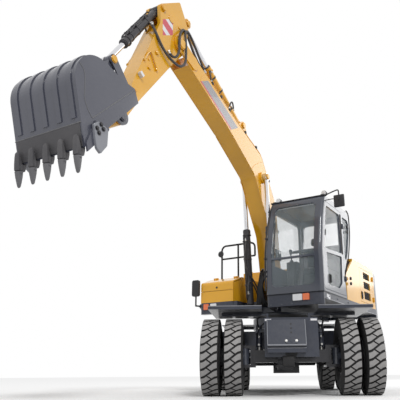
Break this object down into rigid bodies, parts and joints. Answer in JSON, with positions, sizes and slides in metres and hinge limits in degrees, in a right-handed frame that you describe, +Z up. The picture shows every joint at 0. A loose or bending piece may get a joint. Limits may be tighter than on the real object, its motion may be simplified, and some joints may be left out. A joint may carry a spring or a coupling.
{
  "type": "wheeled excavator",
  "caption": "Wheeled excavator whose turning upper structure carries a cab, engine body, boom, stick and bucket, each moved by its cylinders.",
  "frame": {"origin": "on the ground, on the axis about which the upper structure turns", "axes": "+Z up; -Y the way the undercarriage's steered axle faces; +X towards the cab's side of the undercarriage"},
  "size_m": [4.9898, 7.6811, 5.6113],
  "materials": {
    "yellow_paint": "semi-gloss",
    "grey_paint": "satin",
    "arm_grey_paint": "satin",
    "wheel_paint": "satin",
    "tyre_rubber": "dusty",
    "rod_chrome": "polished",
    "clear_glass": "clear",
    "black_plastic": "matt",
    "seat_fabric": "woven",
    "rail_paint": "satin",
    "engine_iron": "rough",
    "lamp_plastic": "clear",
    "orange_plastic": "clear",
    "red_plastic": "clear"
  },
  "bodies": {
    "undercarriage": {"chassis_frame": "grey_paint", "slew_ring": "grey_paint", "fenders": "grey_paint", "step_boxes": "grey_paint", "front_axle": "grey_paint", "rear_axle": "grey_paint", "drive_line": "grey_paint"},
    "steering_rod": {"steering_rod": "rod_chrome"},
    "knuckle_left": {"knuckle_left": "grey_paint"},
    "knuckle_right": {"knuckle_right": "grey_paint"},
    "wheel_front_left": {"rims_front_left": "wheel_paint", "tyres_front_left": "tyre_rubber"},
    "wheel_front_right": {"rims_front_right": "wheel_paint", "tyres_front_right": "tyre_rubber"},
    "wheel_rear_left": {"rims_rear_left": "wheel_paint", "tyres_rear_left": "tyre_rubber"},
    "wheel_rear_right": {"rims_rear_right": "wheel_paint", "tyres_rear_right": "tyre_rubber"},
    "upper_structure": {"upper_frame": "grey_paint", "counterweight": "grey_paint", "side_panels": "yellow_paint", "engine": "engine_iron", "tanks": "yellow_paint", "tool_box": "yellow_paint", "cab_shell": "grey_paint", "cab_glass": "clear_glass", "seat": "seat_fabric", "steering_column": "black_plastic", "cab_consoles": "black_plastic", "handrails": "rail_paint", "mirror_right": "black_plastic", "mirror_left": "black_plastic", "lamps": "lamp_plastic", "marker_lamps": "orange_plastic", "tail_lamps": "red_plastic", "cab_fittings": "black_plastic"},
    "cab_door": {"cab_door": "grey_paint", "door_glass": "clear_glass"},
    "engine_hood": {"engine_hood": "yellow_paint"},
    "left_side_door": {"left_side_door": "yellow_paint", "left_louvres": "black_plastic"},
    "right_side_door": {"right_side_door": "yellow_paint", "right_louvres": "black_plastic"},
    "tool_box_lid": {"tool_box_lid": "yellow_paint"},
    "boom": {"boom": "yellow_paint", "boom_pipes": "yellow_paint", "boom_lamp": "lamp_plastic"},
    "lift_barrel": {"lift_barrel": "grey_paint"},
    "lift_rod": {"lift_rod": "rod_chrome"},
    "stick": {"stick": "yellow_paint", "stick_lamp": "lamp_plastic"},
    "crowd_barrel": {"crowd_barrel": "yellow_paint"},
    "crowd_rod": {"crowd_rod": "rod_chrome"},
    "curl_barrel": {"curl_barrel": "grey_paint"},
    "curl_rod": {"curl_rod": "rod_chrome"},
    "idler_links": {"idler_links": "arm_grey_paint"},
    "bucket_link": {"bucket_link": "arm_grey_paint"},
    "bucket": {"bucket": "arm_grey_paint", "bucket_teeth": "arm_grey_paint"}
  },
  "joints": [
    {"name": "swing", "type": "hinge", "parent": "undercarriage", "child": "upper_structure", "pos_m": [0, 0, 1.262], "axis": [0, 0, 1], "continuous": true},
    {"name": "steer_left", "type": "hinge", "parent": "undercarriage", "child": "knuckle_left", "pos_m": [0.655, -1.85, 0.529], "axis": [0, 0, 1], "range_deg": [-30, 30]},
    {"name": "steer_right", "type": "hinge", "parent": "undercarriage", "child": "knuckle_right", "pos_m": [-0.655, -1.85, 0.529], "axis": [0, 0, 1], "range_deg": [-30, 30]},
    {"name": "steering_rod_slide", "type": "slide", "parent": "undercarriage", "child": "steering_rod", "axis": [-1, 0, 0], "range_m": [-0.105, 0.105]},
    {"name": "spin_front_left", "type": "hinge", "parent": "knuckle_left", "child": "wheel_front_left", "pos_m": [0.855, -1.85, 0.529], "axis": [1, 0, 0], "continuous": true},
    {"name": "spin_front_right", "type": "hinge", "parent": "knuckle_right", "child": "wheel_front_right", "pos_m": [-0.855, -1.85, 0.529], "axis": [1, 0, 0], "continuous": true},
    {"name": "spin_rear_left", "type": "hinge", "parent": "undercarriage", "child": "wheel_rear_left", "pos_m": [0.855, 0.95, 0.529], "axis": [1, 0, 0], "continuous": true},
    {"name": "spin_rear_right", "type": "hinge", "parent": "undercarriage", "child": "wheel_rear_right", "pos_m": [-0.855, 0.95, 0.529], "axis": [1, 0, 0], "continuous": true},
    {"name": "cab_door_hinge", "type": "hinge", "parent": "upper_structure", "child": "cab_door", "pos_m": [1.06294, -0.67697, 2.3], "axis": [0, 0, 1], "range_deg": [0, 160]},
    {"name": "engine_hood_hinge", "type": "hinge", "parent": "upper_structure", "child": "engine_hood", "pos_m": [0.34131, 0.67569, 2.299], "axis": [0.8926, -0.4509, 0], "range_deg": [0, 60]},
    {"name": "left_side_door_hinge", "type": "hinge", "parent": "upper_structure", "child": "left_side_door", "pos_m": [1.84224, 0.91014, 1.875], "axis": [0, 0, 1], "range_deg": [0, 100]},
    {"name": "right_side_door_hinge", "type": "hinge", "parent": "upper_structure", "child": "right_side_door", "pos_m": [-0.36066, 2.0229, 1.875], "axis": [0, 0, -1], "range_deg": [0, 100]},
    {"name": "tool_box_lid_hinge", "type": "hinge", "parent": "upper_structure", "child": "tool_box_lid", "pos_m": [-1.04446, -0.16029, 1.972], "axis": [-0.8926, 0.4509, 0], "range_deg": [0, 75]},
    {"name": "boom_lift", "type": "hinge", "parent": "upper_structure", "child": "boom", "pos_m": [-0.20694, -0.29879, 1.79], "axis": [-0.8926, 0.4509, 0], "range_deg": [-72, 12]},
    {"name": "lift_barrel_pivot", "type": "hinge", "parent": "upper_structure", "child": "lift_barrel", "pos_m": [-0.38955, -0.66028, 1.37], "axis": [-0.8926, 0.4509, 0], "range_deg": [-68, 12]},
    {"name": "lift_rod_slide", "type": "slide", "parent": "lift_barrel", "child": "lift_rod", "axis": [-0.0396, -0.0783, 0.9961], "range_m": [-0.68, 0.12]},
    {"name": "stick_crowd", "type": "hinge", "parent": "boom", "child": "stick", "pos_m": [-1.64074, -3.13721, 4.88], "axis": [0.8926, -0.4509, 0], "range_deg": [-45, 42]},
    {"name": "crowd_barrel_pivot", "type": "hinge", "parent": "boom", "child": "crowd_barrel", "pos_m": [-0.748, -1.36989, 4.44], "axis": [0.8926, -0.4509, 0], "range_deg": [-2, 2]},
    {"name": "crowd_rod_slide", "type": "slide", "parent": "crowd_barrel", "child": "crowd_rod", "axis": [-0.3904, -0.7728, 0.5004], "range_m": [-0.46, 0.43]},
    {"name": "bucket_curl", "type": "hinge", "parent": "stick", "child": "bucket", "pos_m": [-2.15474, -4.15476, 3.18], "axis": [0.8926, -0.4509, 0], "range_deg": [-25, 130]},
    {"name": "idler_pivot", "type": "hinge", "parent": "stick", "child": "idler_links", "pos_m": [-2.08553, -4.01774, 3.53459], "axis": [0.8926, -0.4509, 0], "range_deg": [-18, 92]},
    {"name": "bucket_link_pivot", "type": "hinge", "parent": "idler_links", "child": "bucket_link", "pos_m": [-2.23454, -4.31274, 3.873], "axis": [0.8926, -0.4509, 0], "range_deg": [-79, 16]},
    {"name": "curl_barrel_pivot", "type": "hinge", "parent": "stick", "child": "curl_barrel", "pos_m": [-1.8256, -3.50317, 5.245], "axis": [0.8926, -0.4509, 0], "range_deg": [-2, 10]},
    {"name": "curl_rod_slide", "type": "slide", "parent": "curl_barrel", "child": "curl_rod", "axis": [-0.2486, -0.4922, -0.8342], "range_m": [-0.126, 0.65]}
  ],
  "couplings": [
    {"joint": "steer_right", "follows": "steer_left", "ratio": 1},
    {"joint": "steering_rod_slide", "follows": "steer_left", "m_per_rad": 0.1815},
    {"joint": "lift_barrel_pivot", "follows": "boom_lift", "ratio": 0.9368},
    {"joint": "lift_rod_slide", "follows": "boom_lift", "m_per_rad": 0.5349},
    {"joint": "crowd_barrel_pivot", "follows": "stick_crowd", "ratio": 0.0238},
    {"joint": "crowd_rod_slide", "follows": "stick_crowd", "m_per_rad": 0.5774},
    {"joint": "idler_pivot", "follows": "bucket_curl", "ratio": 0.67},
    {"joint": "bucket_link_pivot", "follows": "bucket_curl", "ratio": -0.6},
    {"joint": "curl_barrel_pivot", "follows": "bucket_curl", "ratio": 0.07},
    {"joint": "curl_rod_slide", "follows": "bucket_curl", "m_per_rad": 0.285}
  ]
}
